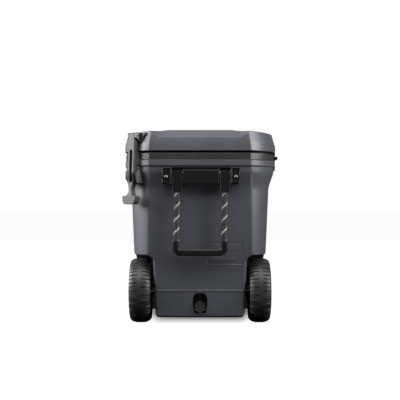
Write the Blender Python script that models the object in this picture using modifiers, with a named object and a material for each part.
"""Cooler on wheels: a foam-filled chest with a hinged lid, two corner wheels and two handles.

The origin is on the ground under the middle of the cooler, with +Z up. The wheels, the drain and the
rope handle are at the -Y end, the tow handle and the feet at the +Y end, the latches on the two -X
corners and the hinges on the +X side. All sizes are in metres.
"""

import math
from collections import namedtuple

import bmesh
import bpy
from mathutils import Matrix, Vector

Level = namedtuple("Level", "z half_x half_y flat")

# Fits
GAP = 0.0003  # between pieces that touch
RUNNING = 0.0004  # round a pin or shaft that turns

# Chest: flat ends whose half width is "flat", straight sides, and corners that start with a crease
CREASE = math.radians(28)
CORNER_STEPS = 6
BASE_Z = 0.0215
RIM_Z = 0.4325
SHELL_WALL = 0.004
BODY_LEVELS = (
    Level(BASE_Z, 0.1690, 0.3400, 0.1380),
    Level(0.0930, 0.1735, 0.3445, 0.1375),
    Level(0.0955, 0.1718, 0.3428, 0.1370),
    Level(0.3630, 0.1850, 0.3530, 0.1320),
    Level(0.4000, 0.1990, 0.3660, 0.1310),
    Level(0.4150, 0.1995, 0.3665, 0.1310),
    Level(0.4180, 0.2020, 0.3700, 0.1310),
    Level(RIM_Z, 0.2020, 0.3700, 0.1305),
)
COLLAR = BODY_LEVELS[-2]

# Inner liner, open at the top, stepped in beside the wheels, with a sump for the drain
LINER_WALL = 0.003
LINER_RADIUS = 0.040
LINER_FLOOR = (0.058, 0.138, 0.306)  # z, half width, half length, outside
LINER_TOP = (RIM_Z - GAP, 0.167, 0.335)
STEP_X = 0.092
STEP_Y = -0.160
STEP_Z = 0.203
SUMP_HALF_WIDTH = 0.030
SUMP_Z = 0.037
SUMP_LENGTH = 0.050

# Rim band between the chest and the lid
BAND_TOP = 0.4504
BAND_OUTER = (0.2005, 0.3685, 0.1305)
BAND_OPENING = (0.164, 0.332)
BAND_GROOVE_DEPTH = 0.013

# Lid: tapered sides under a roof of flat facets, scooped at both ends
LID_Z = 0.4556
LID_WALL = 0.0035
LID_LEVELS = (
    Level(LID_Z, 0.2030, 0.3710, 0.1315),
    Level(0.4750, 0.2030, 0.3700, 0.1300),
    Level(0.5200, 0.1906, 0.3607, 0.1222),
)
ROOF = ((0.083, 0.5135), (0.127, 0.5080), (0.195, 0.5040), (0.250, 0.5008))
SCOOP_HALF_WIDTH = 0.106
SCOOP_FRONT = (0.380, 0.4865)  # distance from the middle, height of the floor
SCOOP_BACK = (0.311, 0.5150)
SCOOP_SIDE_SLOPE = 19 / 11
PLUG = (0.158, 0.326, 0.444)  # half width, half length, underside
PAN_WALL = 0.003
GASKET = (0.172, 0.340, 0.008)  # inner half width, inner half length, width of the strip

# Rear hinges
HINGE_X = 0.208
HINGE_Z = 0.443
HINGE_Y = 0.200
HINGE_WIDTH = 0.070
KNUCKLE_RADIUS = 0.005
HINGE_PIN_RADIUS = 0.0022
LEAF_THICKNESS = 0.003

# Corner latches, in a frame with x along the corner, -y outwards and z up
LATCH_ANGLE = math.radians(48)
LATCH_LEAN = math.radians(2.1)  # the strap's lower end stands further out
LATCH_PIVOT = (-0.0075, 0.497)
LATCH_HALF_THICKNESS = 0.0065
LATCH_HALF_WIDTH = 0.0125
LATCH_SLOT = (0.0050, 0.374, 0.459)  # half width, bottom, top
LATCH_PIN_RADIUS = 0.0025

# Wheels
AXLE_Y = -0.275
AXLE_Z = 0.086
WELL_RADIUS = 0.0975
WELL_WALL_TOP = 0.1235
WELL_WALL_BOTTOM = 0.1140
WHEEL_STEPS = 36
AXLE_RADIUS = 0.006
HUB_RADIUS = 0.0597

# Rope handle at the wheel end
HANDLE_Y = -0.369
HANDLE_Z = 0.398
HANDLE_X = 0.0027  # the bracket and sleeves stand off the middle by this much
HANDLE_ROD_RADIUS = 0.004
BRACKET = ((HANDLE_X - 0.101, -0.376, 0.370), (HANDLE_X + 0.101, -0.3563, 0.412))
ROPE_X = 0.0615
ROPE_RADIUS = 0.0075
SLEEVE_HALF_WIDTH = 0.01235
SLEEVE_HALF_THICKNESS = 0.0063
SLEEVE_BOTTOM = 0.346
GRIP_ARM_TOP = 0.224
GRIP_Z = 0.1935
GRIP_RADIUS = 0.009
SCREW_X = 0.090
SCREW_Z = 0.388

# Drain in the skirt
DRAIN_Z = 0.0495
RECESS = ((-0.019, -0.350, 0.0335), (0.019, -0.329, 0.0845))
SPOUT_RADIUS = 0.009
SPOUT_BORE = 0.007
CAP_RADIUS = 0.0135
CAP_LOBES = 6
TETHER_TOP = 0.0805

# Tow handle at the other end
TOW_Y = 0.365
TOW_Z = 0.345
TOW_X = 0.113
TOW_ARM_HALF_WIDTH = 0.007
TOW_ARM_RADIUS = 0.008
TOW_GRIP_Z = 0.118
TOW_PIN_RADIUS = 0.004

# Feet
FOOT_X = 0.120
FOOT_Y = 0.285
FOOT_SIZE = (0.060, 0.044)

for old in list(bpy.data.objects):
    bpy.data.objects.remove(old, do_unlink=True)

parts = bpy.data.collections.new("cooler_on_wheels")
cutters = bpy.data.collections.new("cutters")
bpy.context.scene.collection.children.link(parts)
bpy.context.scene.collection.children.link(cutters)


def make_material(name, colour, roughness, metallic=0.0):
    """One Principled material."""
    material = bpy.data.materials.new(name)
    material.use_nodes = True
    shader = material.node_tree.nodes["Principled BSDF"]
    shader.inputs["Base Color"].default_value = (*colour, 1.0)
    shader.inputs["Roughness"].default_value = roughness
    shader.inputs["Metallic"].default_value = metallic
    return material


SLATE = make_material("slate_plastic", (0.070, 0.074, 0.088), 0.45)
CHARCOAL = make_material("charcoal_plastic", (0.030, 0.030, 0.031), 0.50)
BLACK = make_material("black_plastic", (0.012, 0.012, 0.012), 0.40)
WHITE = make_material("white_plastic", (0.75, 0.75, 0.74), 0.35)
FOAM = make_material("insulation_foam", (0.72, 0.64, 0.42), 0.90)
SEAL = make_material("seal_rubber", (0.025, 0.025, 0.026), 0.70)
LATCH = make_material("latch_rubber", (0.085, 0.083, 0.080), 0.60)
TYRE = make_material("tyre_rubber", (0.015, 0.015, 0.016), 0.60)
ROPE = make_material("rope_fibre", (0.040, 0.040, 0.039), 0.85)
STEEL = make_material("zinc_plated_steel", (0.55, 0.56, 0.58), 0.30, 1.0)


# ---------------------------------------------------------------- helpers


def add_object(name, bm, material=None):
    """Turn a bmesh into a part, or into a cutter if it has no material."""
    bmesh.ops.recalc_face_normals(bm, faces=bm.faces)
    mesh = bpy.data.meshes.new(name)
    bm.to_mesh(mesh)
    bm.free()
    piece = bpy.data.objects.new(name, mesh)
    if material:
        mesh.materials.append(material)
        parts.objects.link(piece)
    else:
        piece.hide_render = True
        piece.display_type = "WIRE"
        cutters.objects.link(piece)
    return piece


def smooth(piece, angle=math.radians(32)):
    """Shade the round faces smooth and keep the corners sharp."""
    piece.data.shade_smooth()
    piece.data.set_sharp_from_angle(angle=angle)
    return piece


def loft(name, sections, material=None):
    """Skin a closed solid over a stack of outlines that have the same number of points."""
    bm = bmesh.new()
    stack = [[bm.verts.new(point) for point in section] for section in sections]
    for low, high in zip(stack, stack[1:]):
        for i in range(len(low)):
            after = (i + 1) % len(low)
            bm.faces.new((low[i], low[after], high[after], high[i]))
    bm.faces.new(stack[0])
    bm.faces.new(stack[-1])
    return add_object(name, bm, material)


def prism(name, points, axis, low, high, material=None):
    """Extrude an outline of the other two coordinates along an axis, from low to high."""
    along = "XYZ".index(axis)
    others = [k for k in range(3) if k != along]

    def place(point, distance):
        spot = Vector()
        spot[along] = distance
        spot[others[0]], spot[others[1]] = point
        return spot

    sections = [[place(point, distance) for point in points] for distance in (low, high)]
    return loft(name, sections, material)


def block(name, low, high, material=None):
    """A box between two corners."""
    bm = bmesh.new()
    size = Vector(high) - Vector(low)
    middle = (Vector(high) + Vector(low)) / 2
    bmesh.ops.create_cube(bm, size=1, matrix=Matrix.Translation(middle) @ Matrix.Diagonal(size.to_4d()))
    return add_object(name, bm, material)


def rod(name, radius, start, end, material=None, steps=24):
    """A cylinder between two points."""
    bm = bmesh.new()
    along = Vector(end) - Vector(start)
    turn = along.to_track_quat("Z", "Y").to_matrix().to_4x4()
    place = Matrix.Translation((Vector(start) + Vector(end)) / 2) @ turn
    bmesh.ops.create_cone(
        bm, cap_ends=True, segments=steps, radius1=radius, radius2=radius, depth=along.length, matrix=place
    )
    return smooth(add_object(name, bm, material))


def turned(name, profile, material, place, steps=WHEEL_STEPS):
    """Turn (radius, distance) points about the local Z axis; a profile off the axis is closed to a ring."""
    bm = bmesh.new()
    corners = [bm.verts.new((radius, 0.0, distance)) for radius, distance in profile]
    for start, end in zip(corners, corners[1:]):
        bm.edges.new((start, end))
    if profile[0][0] > 0:
        bm.edges.new((corners[-1], corners[0]))
    piece = add_object(name, bm, material)
    piece.matrix_world = place
    screw = piece.modifiers.new("turn", "SCREW")
    screw.steps = screw.render_steps = steps
    screw.use_merge_vertices = True
    screw.merge_threshold = 0.00001
    screw.use_smooth_shade = True
    return piece


def combine(piece, operation, *tools):
    """Add one Boolean modifier for each tool."""
    for tool in tools:
        boolean = piece.modifiers.new(tool.name, "BOOLEAN")
        boolean.operation = operation
        boolean.object = tool
    return piece


def cut(piece, *tools):
    return combine(piece, "DIFFERENCE", *tools)


def join(piece, *tools):
    return combine(piece, "UNION", *tools)


def pivot(name, position, parent=None):
    """An empty on a joint's axis."""
    empty = bpy.data.objects.new(name, None)
    empty.empty_display_size = 0.03
    empty.location = position
    parts.objects.link(empty)
    if parent:
        hang(empty, parent)
    return empty


def hang(piece, parent):
    """Parent a piece to a joint's empty and leave it where it is."""
    piece.parent = parent
    piece.matrix_parent_inverse = Matrix.Translation(parent.location).inverted()
    return piece


def outline(z, half_x, half_y, flat, crease=CREASE):
    """Plan outline, anticlockwise: each corner's arc runs from the crease at the flat end to the side."""
    radius = (half_x - flat) / (1 - math.sin(crease))
    centre_x = half_x - radius
    centre_y = half_y - radius * math.cos(crease)
    turns = [crease + (math.pi / 2 - crease) * i / CORNER_STEPS for i in range(CORNER_STEPS + 1)]
    corner = [(centre_x + radius * math.sin(a), centre_y + radius * math.cos(a)) for a in turns]
    ring = [(x, y) for x, y in reversed(corner)]
    ring += [(-x, y) for x, y in corner]
    ring += [(-x, -y) for x, y in reversed(corner)]
    ring += [(x, -y) for x, y in corner]
    return [Vector((x, y, z)) for x, y in ring]


def creased(levels, inset=0.0):
    """Outlines of the chest or the lid, moved in by inset."""
    pull = inset * math.tan(CREASE / 2)
    return [outline(v.z, v.half_x - inset, v.half_y - inset, v.flat - pull) for v in levels]


def level_at(levels, z):
    """The outline's sizes at height z, on the line through the two lowest levels."""
    low, high = levels[:2]
    share = (z - low.z) / (high.z - low.z)
    return Level(*(a + share * (b - a) for a, b in zip(low, high)))


def rounded(z, half_x, half_y, radius):
    """A rectangle with round corners."""
    return outline(z, half_x, half_y, half_x - radius, crease=0.0)


def support(level, angle):
    """How far the corner of a level reaches along the direction at this angle from the end's normal."""
    radius = (level.half_x - level.flat) / (1 - math.sin(CREASE))
    centre_x = level.half_x - radius
    centre_y = level.half_y - radius * math.cos(CREASE)
    return centre_x + radius * math.sin(angle), centre_y + radius * math.cos(angle)


# ---------------------------------------------------------------- chest


def well_wall(z):
    """Distance of a wheel well's inner wall from the middle plane, with its moulding draft."""
    rise = (z - BASE_Z) / (AXLE_Z + WELL_RADIUS - BASE_Z)
    return WELL_WALL_BOTTOM + rise * (WELL_WALL_TOP - WELL_WALL_BOTTOM)


def wheel_well(name, side, grow):
    """Cutter for one corner wheel well: an arch round the axle, open to the end and below."""
    radius = WELL_RADIUS + grow
    far, low = -0.450, -0.010
    arch = [
        (AXLE_Y + radius * math.cos(a), AXLE_Z + radius * math.sin(a))
        for a in (math.pi / 2 * i / 10 for i in range(11))
    ]
    profile = [(far, low), (AXLE_Y + radius, low), *arch, (far, AXLE_Z + radius)]
    sections = [
        [(side * (well_wall(z) - grow), y, z) for y, z in profile],
        [(side * 0.260, y, z) for y, z in profile],
    ]
    return loft(name, sections)


def hollows(name, grow):
    """Cutters for what is hollowed out of the chest from outside, grown by a wall's thickness."""
    room = Vector((grow, grow, grow))
    pocket_low = Vector(BRACKET[0]) - room - Vector((GAP, 0.02, GAP))
    pocket_high = Vector(BRACKET[1]) + room + Vector((GAP, GAP, GAP))
    return [
        wheel_well(f"{name}_well_left", -1, grow),
        wheel_well(f"{name}_well_right", 1, grow),
        block(f"{name}_pocket", pocket_low, pocket_high),
        block(f"{name}_recess", Vector(RECESS[0]) - room, Vector(RECESS[1]) + room),
    ]


def chest_core(name, inset, material=None):
    """The chest's inside at this depth under the skin; as a cutter it runs out of the open top."""
    levels = [v._replace(z=v.z + inset) if v.z == BASE_Z else v for v in BODY_LEVELS]
    if material:
        levels[-1] = levels[-1]._replace(z=RIM_Z - GAP)
    else:
        levels.append(levels[-1]._replace(z=RIM_Z + 0.010))
    core = loft(name, creased(levels, inset), material)
    return cut(core, *hollows(f"{name}_hollow", inset))


def liner_form(name, inset, material=None):
    """The liner's shape, moved in by inset, with its wheel steps and sump."""
    floor_z, floor_x, floor_y = LINER_FLOOR
    top_z, top_x, top_y = LINER_TOP
    radius = LINER_RADIUS - inset
    sections = [
        rounded(floor_z + inset, floor_x - inset, floor_y - inset, radius),
        rounded(top_z, top_x - inset, top_y - inset, radius),
    ]
    if not material:
        sections.append(rounded(top_z + 0.010, top_x - inset, top_y - inset, radius))
    form = loft(name, sections, material)
    steps = [
        block(
            f"{name}_step_{side}",
            (min(side * (STEP_X - inset), side * 0.2), -0.4, 0.0),
            (max(side * (STEP_X - inset), side * 0.2), STEP_Y + inset, STEP_Z + inset),
        )
        for side in (-1, 1)
    ]
    sump_y = 0.002 - floor_y
    sump = block(
        f"{name}_sump",
        (inset - SUMP_HALF_WIDTH, sump_y + inset, SUMP_Z + inset),
        (SUMP_HALF_WIDTH - inset, sump_y + SUMP_LENGTH - inset, floor_z + inset + 0.004),
    )
    return join(cut(form, *steps), sump)


def build_chest():
    """Outer shell, foam, liner and rim band."""
    drain_hole = rod("drain_hole", SPOUT_RADIUS + GAP, (0, -0.345, DRAIN_Z), (0, -0.290, DRAIN_Z))
    axle_holes, nut_rooms = [
        [
            rod(f"{label}_{side}", radius, (side * start, AXLE_Y, AXLE_Z), (side * end, AXLE_Y, AXLE_Z))
            for side in (-1, 1)
        ]
        for label, radius, start, end in (
            ("axle_hole", AXLE_RADIUS + RUNNING, 0.105, 0.125),
            ("nut_room", 0.009, 0.100, 0.120),
        )
    ]
    screw_holes = [
        rod(f"screw_hole_{x:.3f}", 0.0028, (x, -0.380, SCREW_Z), (x, -0.348, SCREW_Z), steps=12)
        for x in (HANDLE_X - SCREW_X, HANDLE_X + SCREW_X)
    ]

    shell = loft("body_shell", creased(BODY_LEVELS), SLATE)
    cut(shell, *hollows("shell_hollow", 0.0))
    cut(shell, chest_core("shell_core", SHELL_WALL), drain_hole, *axle_holes, *screw_holes)

    foam = chest_core("body_foam", SHELL_WALL + GAP, FOAM)
    cut(foam, liner_form("foam_room", -GAP), drain_hole, *nut_rooms)

    liner = liner_form("inner_liner", 0.0, WHITE)
    cut(liner, liner_form("liner_room", LINER_WALL), drain_hole)

    half_x, half_y, flat = BAND_OUTER
    bottom = RIM_Z + GAP
    band = loft(
        "rim_frame",
        [outline(bottom, half_x, half_y, flat), outline(BAND_TOP, half_x, half_y, flat)],
        CHARCOAL,
    )
    opening_x, opening_y = BAND_OPENING
    opening = loft("band_opening", [rounded(z, opening_x, opening_y, 0.037) for z in (0.42, 0.46)])
    groove_levels = (0.42, bottom + BAND_GROOVE_DEPTH)
    groove_rings = [outline(z, half_x - 0.004, half_y - 0.004, flat - 0.001) for z in groove_levels]
    groove = loft("band_groove", groove_rings)
    core_x, core_y = opening_x + 0.004, opening_y + 0.004
    core = loft("band_groove_core", [rounded(z, core_x, core_y, 0.041) for z in (0.41, 0.47)])
    cut(band, opening, cut(groove, core))
    return screw_holes


# ---------------------------------------------------------------- lid


def roof_cutter(name, drop):
    """The solid under the roof's facets, lowered by drop."""
    right = [(x, z - drop) for x, z in reversed(ROOF)]
    left = [(-x, z - drop) for x, z in ROOF]
    return prism(name, [(-0.250, 0.400), (0.250, 0.400), *right, *left], "Y", -0.450, 0.450)


def scoop(name, end, grow):
    """Cutter for the sloping hollow at one end of the lid."""
    sections = []
    for distance, floor in (SCOOP_FRONT, SCOOP_BACK):
        bottom = floor - grow
        top = bottom + 0.040
        low_x = SCOOP_HALF_WIDTH + grow / 2
        high_x = low_x + SCOOP_SIDE_SLOPE * (top - bottom)
        y = end * distance
        sections.append([(-low_x, y, bottom), (low_x, y, bottom), (high_x, y, top), (-high_x, y, top)])
    return loft(name, sections)


def lid_form(name, inset, bottom=None, material=None):
    """The lid's outside, moved in by inset; a bottom level cuts it off or runs it out below."""
    levels = list(LID_LEVELS)
    if bottom:
        levels[0] = level_at(levels, bottom)
    form = loft(name, creased(levels, inset), material)
    combine(form, "INTERSECT", roof_cutter(f"{name}_roof", inset))
    return cut(form, *[scoop(f"{name}_scoop_{end}", end, inset) for end in (-1, 1)])


def build_lid(axis):
    """Lid shell, foam, inner pan and gasket."""
    shell = lid_form("lid_shell", 0.0, material=SLATE)
    cut(shell, lid_form("lid_shell_core", LID_WALL, LID_Z - 0.010))

    pan_z = LID_Z + GAP
    half_x, half_y, underside = PLUG
    inset = LID_WALL + GAP
    pan_levels = [level_at(LID_LEVELS, z) for z in (pan_z, pan_z + PAN_WALL)]
    pan = loft("lid_liner", creased(pan_levels, inset), WHITE)
    join(pan, loft("plug", [rounded(z, half_x, half_y, 0.036) for z in (underside, pan_z + 0.001)]))
    dish_x, dish_y = half_x - PAN_WALL, half_y - PAN_WALL
    cut(pan, loft("dish", [rounded(z, dish_x, dish_y, 0.033) for z in (underside + PAN_WALL, pan_z + 0.020)]))

    foam = lid_form("lid_foam", inset, pan_z + PAN_WALL + GAP, FOAM)
    fill_levels = (underside + PAN_WALL + GAP, pan_z + 0.010)
    join(foam, loft("dish_fill", [rounded(z, dish_x - GAP, dish_y - GAP, 0.033) for z in fill_levels]))

    inner_x, inner_y, width = GASKET
    strip_z = (BAND_TOP + GAP, LID_Z - GAP)
    gasket = loft("lid_gasket", [rounded(z, inner_x + width, inner_y + width, 0.056) for z in strip_z], SEAL)
    cut(gasket, loft("gasket_hole", [rounded(z, inner_x, inner_y, 0.048) for z in (0.44, 0.47)]))

    for piece in (shell, pan, foam, gasket):
        hang(piece, axis)


def build_hinge(name, middle, axis):
    """One hinge: a leaf on the collar with two knuckles, a leaf on the lid with one, and the pin."""
    half = HINGE_WIDTH / 2
    inner = 0.0145
    leaf_x = COLLAR.half_x + 0.0004
    web_x = HINGE_X - KNUCKLE_RADIUS + 0.0004
    gap = 0.0005

    def knuckle(label, low, high):
        return rod(label, KNUCKLE_RADIUS, (HINGE_X, middle + low, HINGE_Z), (HINGE_X, middle + high, HINGE_Z))

    def web(label, low, high, bottom, top):
        return block(label, (web_x, middle + low, bottom), (web_x + LEAF_THICKNESS, middle + high, top))

    bore = rod(
        f"{name}_bore",
        HINGE_PIN_RADIUS + RUNNING,
        (HINGE_X, middle - half - 0.01, HINGE_Z),
        (HINGE_X, middle + half + 0.01, HINGE_Z),
        steps=16,
    )
    body_leaf = block(
        f"hinge_body_leaf_{name}",
        (leaf_x, middle - half, 0.408),
        (leaf_x + LEAF_THICKNESS, middle + half, HINGE_Z - KNUCKLE_RADIUS - 0.001),
        BLACK,
    )
    for label, low, high in (("a", -half, -inner - gap), ("b", inner + gap, half)):
        join(body_leaf, web(f"{name}_body_web_{label}", low, high, HINGE_Z - 0.007, HINGE_Z))
        join(body_leaf, knuckle(f"{name}_body_knuckle_{label}", low, high))
    cut(body_leaf, bore)

    lid_leaf = block(
        f"hinge_lid_leaf_{name}",
        (web_x, middle - half, HINGE_Z + KNUCKLE_RADIUS + gap),
        (web_x + LEAF_THICKNESS, middle + half, 0.478),
        BLACK,
    )
    join(lid_leaf, web(f"{name}_lid_web", -inner, inner, HINGE_Z, HINGE_Z + 0.007))
    join(lid_leaf, knuckle(f"{name}_lid_knuckle", -inner, inner))
    cut(lid_leaf, bore)
    hang(lid_leaf, axis)

    rod(
        f"hinge_pin_{name}",
        HINGE_PIN_RADIUS,
        (HINGE_X, middle - half, HINGE_Z),
        (HINGE_X, middle + half, HINGE_Z),
        STEEL,
        steps=16,
    )


# ---------------------------------------------------------------- latches


def build_latch(name, end, lid_axis):
    """One rubber T-latch: strap, its anchor and pin on the lid, and the keeper under the collar."""
    corner_x, corner_y = support(COLLAR, LATCH_ANGLE)
    turn = -LATCH_ANGLE if end < 0 else LATCH_ANGLE - math.pi
    place = Matrix.Translation((-corner_x, end * corner_y, 0)) @ Matrix.Rotation(turn, 4, "Z")
    pivot_y, pivot_z = LATCH_PIVOT
    hinge = Matrix.Translation((0, pivot_y, pivot_z))
    lean = hinge @ Matrix.Rotation(-LATCH_LEAN, 4, "X") @ hinge.inverted()
    axis = pivot(f"latch_{name}_axis", place @ Vector((0, pivot_y, pivot_z)), lid_axis)

    def put(piece, turned_by=Matrix()):
        piece.matrix_world = place @ turned_by
        return piece

    def cross_rod(label, radius, half, material=None):
        """A rod along the latch's pivot."""
        return rod(label, radius, (-half, pivot_y, pivot_z), (half, pivot_y, pivot_z), material, 16)

    # The strap is the solid that has both this front outline and this side outline.
    right = [
        (LATCH_HALF_WIDTH, 0.510),
        (LATCH_HALF_WIDTH, 0.382),
        (0.0090, 0.367),
        (0.0062, 0.360),
        (0.0062, 0.349),
        (0.0115, 0.340),
        (0.0280, 0.337),
        (0.0260, 0.322),
        (0.0200, 0.317),
    ]
    front = right + [(-x, z) for x, z in reversed(right)]
    strap = put(prism(f"latch_strap_{name}", front, "Y", -0.030, 0.004, LATCH), lean)
    back = pivot_y + LATCH_HALF_THICKNESS
    face = pivot_y - LATCH_HALF_THICKNESS
    top = [
        (pivot_y + LATCH_HALF_THICKNESS * math.cos(a), pivot_z + LATCH_HALF_THICKNESS * math.sin(a))
        for a in (math.pi * i / 8 for i in range(9))
    ]
    side = [(back, 0.310), *top, (face, 0.345), (face - 0.004, 0.337), (face - 0.004, 0.310)]
    combine(strap, "INTERSECT", put(prism(f"{name}_strap_side", side, "X", -0.040, 0.040), lean))
    slot_half, slot_bottom, slot_top = LATCH_SLOT
    slot = put(block(f"{name}_slot", (-slot_half, -0.040, slot_bottom), (slot_half, 0.010, slot_top)), lean)
    cut(strap, slot, put(cross_rod(f"{name}_strap_bore", LATCH_PIN_RADIUS + RUNNING, 0.03)))
    hang(strap, axis)

    # Anchor: a plate that follows the lid, with two ears that hold the pin.
    plate_front = [(-0.020, 0.477), (0.020, 0.477), (0.034, 0.504), (-0.034, 0.504)]
    plate_side = [(-0.0016, 0.477), (0.0160, 0.477), (0.0160, 0.504), (0.0057, 0.504)]
    anchor = put(prism(f"latch_anchor_{name}", plate_front, "Y", -0.020, 0.016, LATCH))
    combine(anchor, "INTERSECT", put(prism(f"{name}_plate_side", plate_side, "X", -0.040, 0.040)))
    ear = [
        (-0.0030, 0.4790),
        (0.0150, 0.4790),
        (0.0150, 0.5035),
        (-0.0110, 0.5035),
        (-0.0135, 0.5000),
        (-0.0135, 0.4900),
    ]
    ears = [
        put(prism(f"{name}_ear_{label}", ear, "X", low, low + 0.0045))
        for label, low in (("a", -0.0180), ("b", 0.0135))
    ]
    join(anchor, *ears)
    ear_bore = put(cross_rod(f"{name}_ear_bore", LATCH_PIN_RADIUS + GAP, 0.03))
    cut(anchor, lid_form(f"{name}_lid_room", -GAP), ear_bore)
    hang(anchor, lid_axis)
    hang(put(cross_rod(f"latch_pin_{name}", LATCH_PIN_RADIUS, 0.0177, STEEL)), lid_axis)

    # Keeper: cheeks beside the strap, and a horn with an upturned tip that stands out through the slot.
    cheek_in, cheek_out = 0.0145, 0.0210
    root_low, root_high = (-cheek_out, -0.0015, 0.371), (cheek_out, 0.015, 0.405)
    keeper = put(block(f"latch_keeper_{name}", root_low, root_high, BLACK))
    cheek = [
        (0.012, 0.371),
        (-0.010, 0.371),
        (-0.014, 0.377),
        (-0.014, 0.398),
        (-0.009, 0.405),
        (0.012, 0.405),
    ]
    horn = [
        (0.010, 0.379),
        (-0.028, 0.379),
        (-0.0315, 0.384),
        (-0.0315, 0.404),
        (-0.025, 0.404),
        (-0.020, 0.396),
        (0.010, 0.396),
    ]
    join(
        keeper,
        put(prism(f"{name}_cheek_a", cheek, "X", -cheek_out, -cheek_in)),
        put(prism(f"{name}_cheek_b", cheek, "X", cheek_in, cheek_out)),
        put(prism(f"{name}_horn", horn, "X", -0.0035, 0.0035)),
    )
    cut(keeper, loft(f"{name}_body_room", creased(BODY_LEVELS, -GAP)))


# ---------------------------------------------------------------- rope handle


def build_rope_handle(screw_holes):
    """Bracket, screws and pivot rod on the chest; sleeves, ropes and grip that swing on the rod."""
    (low_x, low_y, low_z), (high_x, high_y, high_z) = BRACKET
    slot_half, slot_back = 0.015, -0.3615
    bracket = block("handle_bracket", (low_x, low_y, low_z), (high_x, high_y, high_z), BLACK)
    sleeve_xs = {"left": HANDLE_X - ROPE_X, "right": HANDLE_X + ROPE_X}
    slots = [
        block(
            f"sleeve_slot_{label}",
            (x - slot_half, low_y - 0.01, low_z - 0.01),
            (x + slot_half, slot_back, high_z + 0.01),
        )
        for label, x in sleeve_xs.items()
    ]
    step = block(
        "bracket_step",
        (sleeve_xs["left"] + slot_half - 0.001, low_y - 0.01, 0.406),
        (sleeve_xs["right"] - slot_half + 0.001, -0.363, high_z + 0.01),
    )
    rod_low, rod_high = HANDLE_X - 0.084, HANDLE_X + 0.084
    hole_low, hole_high = (rod_low - GAP, HANDLE_Y, HANDLE_Z), (rod_high + GAP, HANDLE_Y, HANDLE_Z)
    rod_hole = rod("rod_hole", HANDLE_ROD_RADIUS + GAP, hole_low, hole_high, steps=16)
    cut(bracket, *slots, step, rod_hole, *screw_holes)
    rod_ends = ((rod_low, HANDLE_Y, HANDLE_Z), (rod_high, HANDLE_Y, HANDLE_Z))
    rod("handle_pivot_rod", HANDLE_ROD_RADIUS, *rod_ends, STEEL, 16)

    out = Matrix.Rotation(math.pi / 2, 4, "X")  # local Z points out of the wheel end
    head = -low_y + GAP
    screw = (
        (0.0, head + 0.0022),
        (0.0035, head + 0.0022),
        (0.005, head),
        (0.0025, head),
        (0.0025, 0.3526),
        (0.0, 0.3526),
    )
    for x, label in ((HANDLE_X - SCREW_X, "left"), (HANDLE_X + SCREW_X, "right")):
        turned(f"handle_screw_{label}", screw, STEEL, Matrix.Translation((x, 0, SCREW_Z)) @ out, 12)

    axis = pivot("carry_handle_axis", (0, HANDLE_Y, HANDLE_Z))
    crown = [
        (HANDLE_Y + SLEEVE_HALF_THICKNESS * math.cos(a), HANDLE_Z + SLEEVE_HALF_THICKNESS * math.sin(a))
        for a in (math.pi * i / 8 for i in range(9))
    ]
    side_view = [
        (HANDLE_Y - SLEEVE_HALF_THICKNESS, SLEEVE_BOTTOM),
        (HANDLE_Y + SLEEVE_HALF_THICKNESS, SLEEVE_BOTTOM),
        *crown,
    ]
    for label, x in sleeve_xs.items():
        low, high = x - SLEEVE_HALF_WIDTH, x + SLEEVE_HALF_WIDTH
        sleeve = prism(f"handle_sleeve_{label}", side_view, "X", low, high, BLACK)
        bore = rod(
            f"sleeve_bore_{label}",
            HANDLE_ROD_RADIUS + RUNNING,
            (x - 0.02, HANDLE_Y, HANDLE_Z),
            (x + 0.02, HANDLE_Y, HANDLE_Z),
            steps=16,
        )
        hang(cut(sleeve, bore), axis)
        rope = rod(
            f"handle_rope_{label}",
            ROPE_RADIUS,
            (x - HANDLE_X, HANDLE_Y, GRIP_ARM_TOP + GAP),
            (x, HANDLE_Y, SLEEVE_BOTTOM - GAP),
            ROPE,
            steps=16,
        )
        hang(rope, axis)
    hang(build_grip(), axis)


def build_grip():
    """The U grip: a bar with two short arms that take the rope."""
    bend = 0.012
    arm_x = ROPE_X + 0.001
    turns = [math.pi / 2 * i / 4 for i in range(5)]
    corner_x, corner_z = arm_x - bend, GRIP_Z + bend
    left = [(-corner_x - bend * math.cos(a), corner_z - bend * math.sin(a)) for a in turns]
    path = [(-arm_x, GRIP_ARM_TOP), *left, *[(-x, z) for x, z in reversed(left)], (arm_x, GRIP_ARM_TOP)]
    curve = bpy.data.curves.new("handle_grip", "CURVE")
    curve.dimensions = "3D"
    curve.bevel_depth = GRIP_RADIUS
    curve.bevel_resolution = 4
    curve.use_fill_caps = True
    curve.materials.append(BLACK)
    spline = curve.splines.new("POLY")
    spline.points.add(len(path) - 1)
    for point, (x, z) in zip(spline.points, path):
        point.co = (x, 0, z, 1)
    grip = bpy.data.objects.new("handle_grip", curve)
    grip.location = (0, HANDLE_Y, 0)
    parts.objects.link(grip)
    return grip


# ---------------------------------------------------------------- drain


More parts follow.
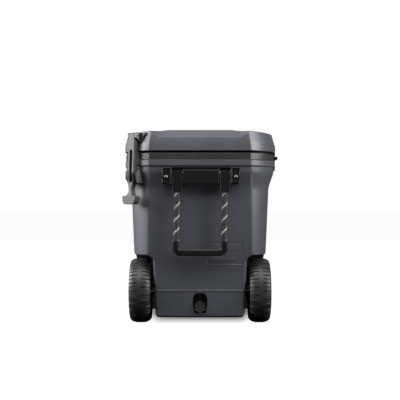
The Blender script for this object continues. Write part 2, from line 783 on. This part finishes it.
def build_drain():
    """Spout through the wall, tether and seal round its neck, and the lobed cap."""
    out = Matrix.Translation((0, 0, DRAIN_Z)) @ Matrix.Rotation(math.pi / 2, 4, "X")
    wall = -RECESS[1][1] + GAP  # distance of the recess's back from the middle of the cooler
    flange = wall + 0.0027
    neck = 0.0415 + 0.300
    inner_end = 0.3012
    spout = (
        (SPOUT_BORE, neck),
        (SPOUT_RADIUS, neck),
        (SPOUT_RADIUS, flange),
        (0.0155, flange),
        (0.0155, wall),
        (SPOUT_RADIUS, wall),
        (SPOUT_RADIUS, inner_end),
        (SPOUT_BORE, inner_end),
    )
    turned("drain_spout", spout, BLACK, out, 24)

    tether_low = flange + GAP
    tether_high = tether_low + 0.0015
    ring_in, ring_out = SPOUT_RADIUS + GAP, 0.013
    tether = rod("drain_tether", ring_out, (0, -tether_high, DRAIN_Z), (0, -tether_low, DRAIN_Z), BLACK)
    tab = block("tether_tab", (-0.005, -tether_high, DRAIN_Z + 0.010), (0.005, -tether_low, TETHER_TOP))
    button_z = TETHER_TOP - 0.0045
    button = rod("tether_button", 0.0055, (0, -tether_high - 0.003, button_z), (0, -wall, button_z), steps=16)
    hole = rod("tether_hole", ring_in, (0, -0.36, DRAIN_Z), (0, -0.32, DRAIN_Z))
    cut(join(tether, tab, button), hole)

    seal_low = tether_high + GAP
    seal_high = seal_low + 0.001
    seal = ((ring_in, seal_high), (0.0118, seal_high), (0.0118, seal_low), (ring_in, seal_low))
    turned("drain_seal", seal, SEAL, out, 24)

    steps = 8 * CAP_LOBES
    turns = [2 * math.pi * i / steps for i in range(steps)]
    lobes = [(CAP_RADIUS + 0.001 * math.cos(CAP_LOBES * a), a) for a in turns]
    edge = [(radius * math.sin(a), DRAIN_Z + radius * math.cos(a)) for radius, a in lobes]
    cap_low = seal_high + GAP
    cap = prism("drain_cap", edge, "Y", -0.3465, -cap_low, CHARCOAL)
    room = rod("cap_room", SPOUT_RADIUS + RUNNING, (0, -neck - 0.001, DRAIN_Z), (0, -0.330, DRAIN_Z))
    cut(cap, room)
    hang(cap, pivot("drain_cap_axis", (0, -cap_low, DRAIN_Z)))


# ---------------------------------------------------------------- wheels


def build_wheel(name, side):
    """One wheel on its own stub axle; the profiles' distances are from the middle plane, outwards."""
    place = Matrix.Translation((0, AXLE_Y, AXLE_Z)) @ Matrix.Rotation(side * math.pi / 2, 4, "Y")
    tyre = (
        (0.0600, 0.1790),
        (0.0640, 0.1820),
        (0.0755, 0.1860),
        (0.0810, 0.1825),
        (0.0860, 0.1720),
        (0.0860, 0.1440),
        (0.0810, 0.1335),
        (0.0755, 0.1300),
        (0.0640, 0.1340),
        (0.0600, 0.1370),
    )
    turned(f"tyre_{name}", tyre, TYRE, place)
    bore = AXLE_RADIUS + RUNNING
    hub = (
        (bore, 0.1760),
        (0.0180, 0.1760),
        (0.0180, 0.1620),
        (0.0500, 0.1620),
        (0.0520, 0.1780),
        (HUB_RADIUS, 0.1780),
        (HUB_RADIUS, 0.1360),
        (0.0520, 0.1360),
        (0.0500, 0.1520),
        (0.0180, 0.1520),
        (0.0180, 0.1240),
        (bore, 0.1240),
    )
    turned(f"wheel_hub_{name}", hub, CHARCOAL, place)
    cap = (
        (0.0, 0.1885),
        (0.0220, 0.1885),
        (0.0300, 0.1840),
        (0.0300, 0.1623),
        (0.0272, 0.1623),
        (0.0272, 0.1822),
        (0.0, 0.1835),
    )
    turned(f"hub_cap_{name}", cap, BLACK, place, 32)
    bolt = (
        (0.0, 0.1810),
        (0.0100, 0.1800),
        (0.0100, 0.1763),
        (AXLE_RADIUS, 0.1763),
        (AXLE_RADIUS, 0.1040),
        (0.0, 0.1040),
    )
    turned(f"axle_bolt_{name}", bolt, STEEL, place, 24)
    washer = ((bore, 0.1237), (0.0120, 0.1237), (0.0120, 0.1193), (bore, 0.1193))
    turned(f"axle_washer_{name}", washer, BLACK, place, 24)


# ---------------------------------------------------------------- tow handle and feet


def build_tow_handle():
    """A grip on two arms that hang from brackets on the end wall."""
    axis = pivot("tow_handle_axis", (0, TOW_Y, TOW_Z))
    body = loft("tow_body_room", creased(BODY_LEVELS, -GAP))
    spigot = 0.005
    for side, label in ((-1, "left"), (1, "right")):
        x = side * TOW_X
        bracket = block(f"tow_bracket_{label}", (x - 0.015, 0.345, 0.322), (x + 0.015, 0.3565, 0.368), BLACK)
        cheek = [
            (0.350, 0.328),
            (0.366, 0.333),
            (0.374, 0.340),
            (0.374, 0.352),
            (0.368, 0.360),
            (0.350, 0.366),
        ]
        cheeks = [
            prism(f"tow_cheek_{label}_{k}", cheek, "X", x + low, x + low + 0.0075)
            for k, low in (("a", -0.015), ("b", 0.0075))
        ]

        def cross_rod(name, radius, z, half, material=None):
            return rod(name, radius, (x - half, TOW_Y, z), (x + half, TOW_Y, z), material, 16)

        pin_hole = cross_rod(f"tow_pin_hole_{label}", TOW_PIN_RADIUS + GAP, TOW_Z, 0.02)
        cut(join(bracket, *cheeks), body, pin_hole)
        cross_rod(f"tow_pin_{label}", TOW_PIN_RADIUS, TOW_Z, 0.014, STEEL)

        ends = ((TOW_Z, 0.0), (TOW_GRIP_Z, math.pi))
        profile = [
            (TOW_Y + TOW_ARM_RADIUS * math.cos(a + start), z + TOW_ARM_RADIUS * math.sin(a + start))
            for z, start in ends
            for a in (math.pi * i / 8 for i in range(9))
        ]
        half = TOW_ARM_HALF_WIDTH - GAP
        arm = prism(f"tow_arm_{label}", profile, "X", x - half, x + half, CHARCOAL)
        pin_bore = cross_rod(f"tow_bore_{label}_pin", TOW_PIN_RADIUS + RUNNING, TOW_Z, 0.02)
        grip_bore = cross_rod(f"tow_bore_{label}_grip", spigot + GAP, TOW_GRIP_Z, 0.02)
        hang(cut(arm, pin_bore, grip_bore), axis)

    end = TOW_X + 0.0055
    shoulder = TOW_X - TOW_ARM_HALF_WIDTH
    half = [
        (0.0, end),
        (spigot, end),
        (spigot, shoulder),
        (0.0085, shoulder),
        (0.0100, 0.080),
        (0.0120, 0.045),
    ]
    profile = half + [(radius, -distance) for radius, distance in reversed(half)]
    place = Matrix.Translation((0, TOW_Y, TOW_GRIP_Z)) @ Matrix.Rotation(math.pi / 2, 4, "Y")
    hang(turned("tow_grip", profile, BLACK, place, 16), axis)


def build_foot(name, side):
    """A rubber foot, smaller where it meets the ground."""
    sections = []
    for z, shrink in ((0.0, 0.006), (0.004, 0.002), (BASE_Z - GAP, 0.0)):
        width, length = FOOT_SIZE[0] / 2 - shrink, FOOT_SIZE[1] / 2 - shrink
        middle = Vector((side * FOOT_X, FOOT_Y, 0))
        sections.append([middle + point for point in rounded(z, width, length, 0.010 - shrink / 2)])
    loft(f"foot_{name}", sections, SEAL)


lid_axis = pivot("lid_hinge_axis", (HINGE_X, 0, HINGE_Z))
handle_screw_holes = build_chest()
build_lid(lid_axis)
build_hinge("wheel_end", -HINGE_Y, lid_axis)
build_hinge("tow_end", HINGE_Y, lid_axis)
build_latch("wheel_end", -1, lid_axis)
build_latch("tow_end", 1, lid_axis)
build_rope_handle(handle_screw_holes)
build_drain()
build_wheel("left", -1)
build_wheel("right", 1)
build_tow_handle()
build_foot("left", -1)
build_foot("right", 1)
